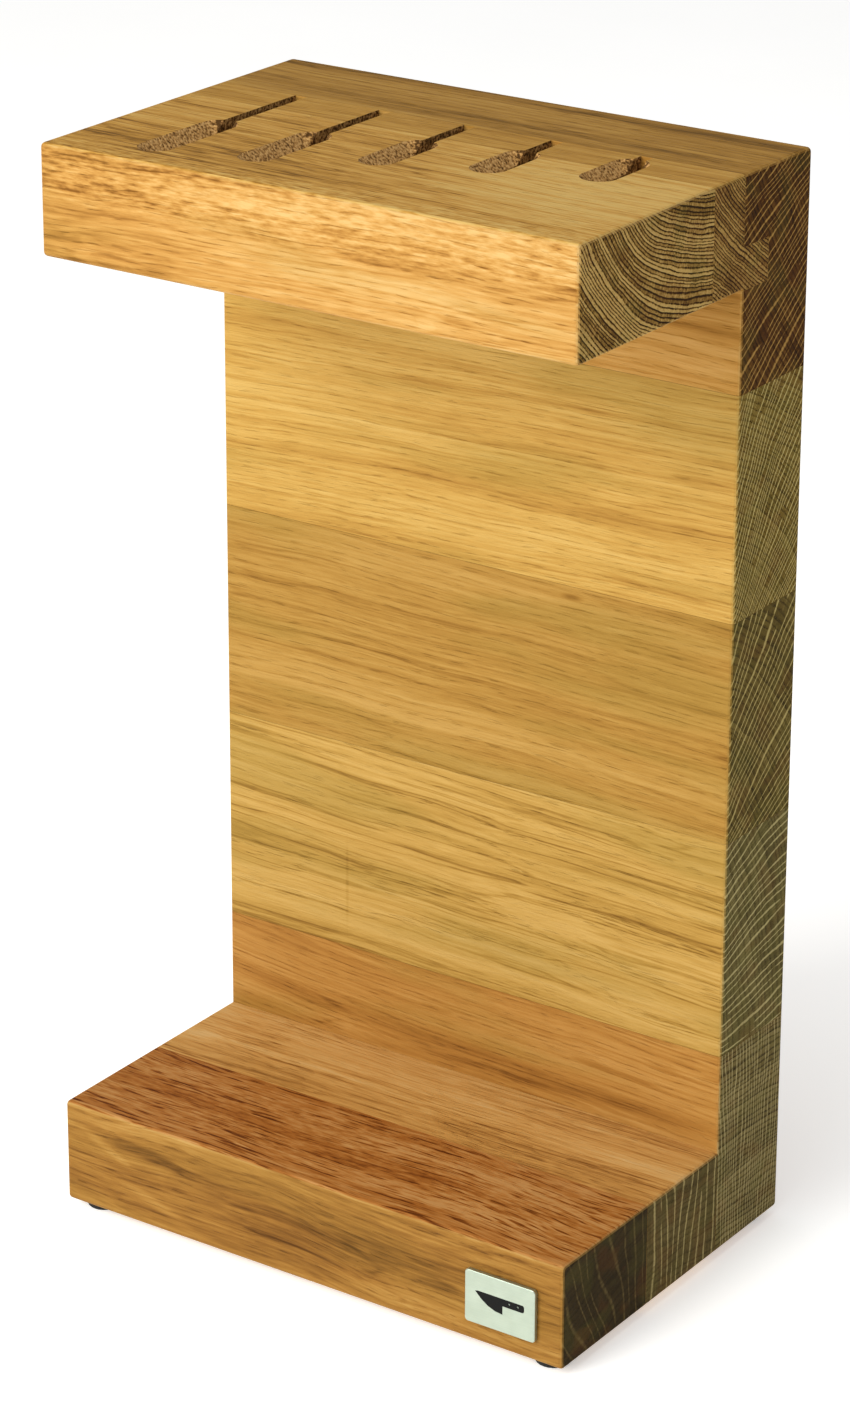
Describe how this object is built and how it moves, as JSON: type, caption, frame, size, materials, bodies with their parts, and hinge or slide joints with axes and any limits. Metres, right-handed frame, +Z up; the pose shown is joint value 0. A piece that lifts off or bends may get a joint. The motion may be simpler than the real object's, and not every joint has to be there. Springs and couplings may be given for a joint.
{
  "type": "knife block",
  "caption": "Upright C-shaped oak knife block: back panel, base board on rubber feet, and a slotted top shelf that knives hang through.",
  "frame": {"origin": "on the standing surface, under the middle of the block", "axes": "+Z up, +Y from the open front towards the back panel, +X to the right seen from the front"},
  "size_m": [0.2, 0.1358, 0.373],
  "materials": {
    "oak_panel": "oiled oak with horizontal grain, amber, satin",
    "oak_shelf": "oiled oak with horizontal grain, golden, satin",
    "oak_base": "oiled oak with horizontal grain, reddish brown, satin",
    "beech": "raw fluted dowel",
    "rubber": "matte black",
    "zinc_screw": "bright zinc plating",
    "satin_steel": "satin, slightly warm",
    "black_enamel": "smooth black filled mark",
    "adhesive": "translucent pale film"
  },
  "bodies": {
    "root": {"panel_stave_1": "oak_panel", "panel_stave_2": "oak_panel", "panel_stave_3": "oak_panel", "panel_stave_4": "oak_panel", "panel_stave_5": "oak_panel", "shelf_stave_front": "oak_shelf", "shelf_stave_back": "oak_shelf", "base_stave_front": "oak_base", "base_stave_back": "oak_base", "base_dowel_1": "beech", "base_dowel_2": "beech", "base_dowel_3": "beech", "foot_front_left": "rubber", "foot_front_right": "rubber", "foot_back_left": "rubber", "foot_back_right": "rubber", "foot_screw_front_left": "zinc_screw", "foot_screw_front_right": "zinc_screw", "foot_screw_back_left": "zinc_screw", "foot_screw_back_right": "zinc_screw", "badge_plate": "satin_steel", "badge_mark": "black_enamel", "badge_adhesive": "adhesive"}
  },
  "joints": []
}
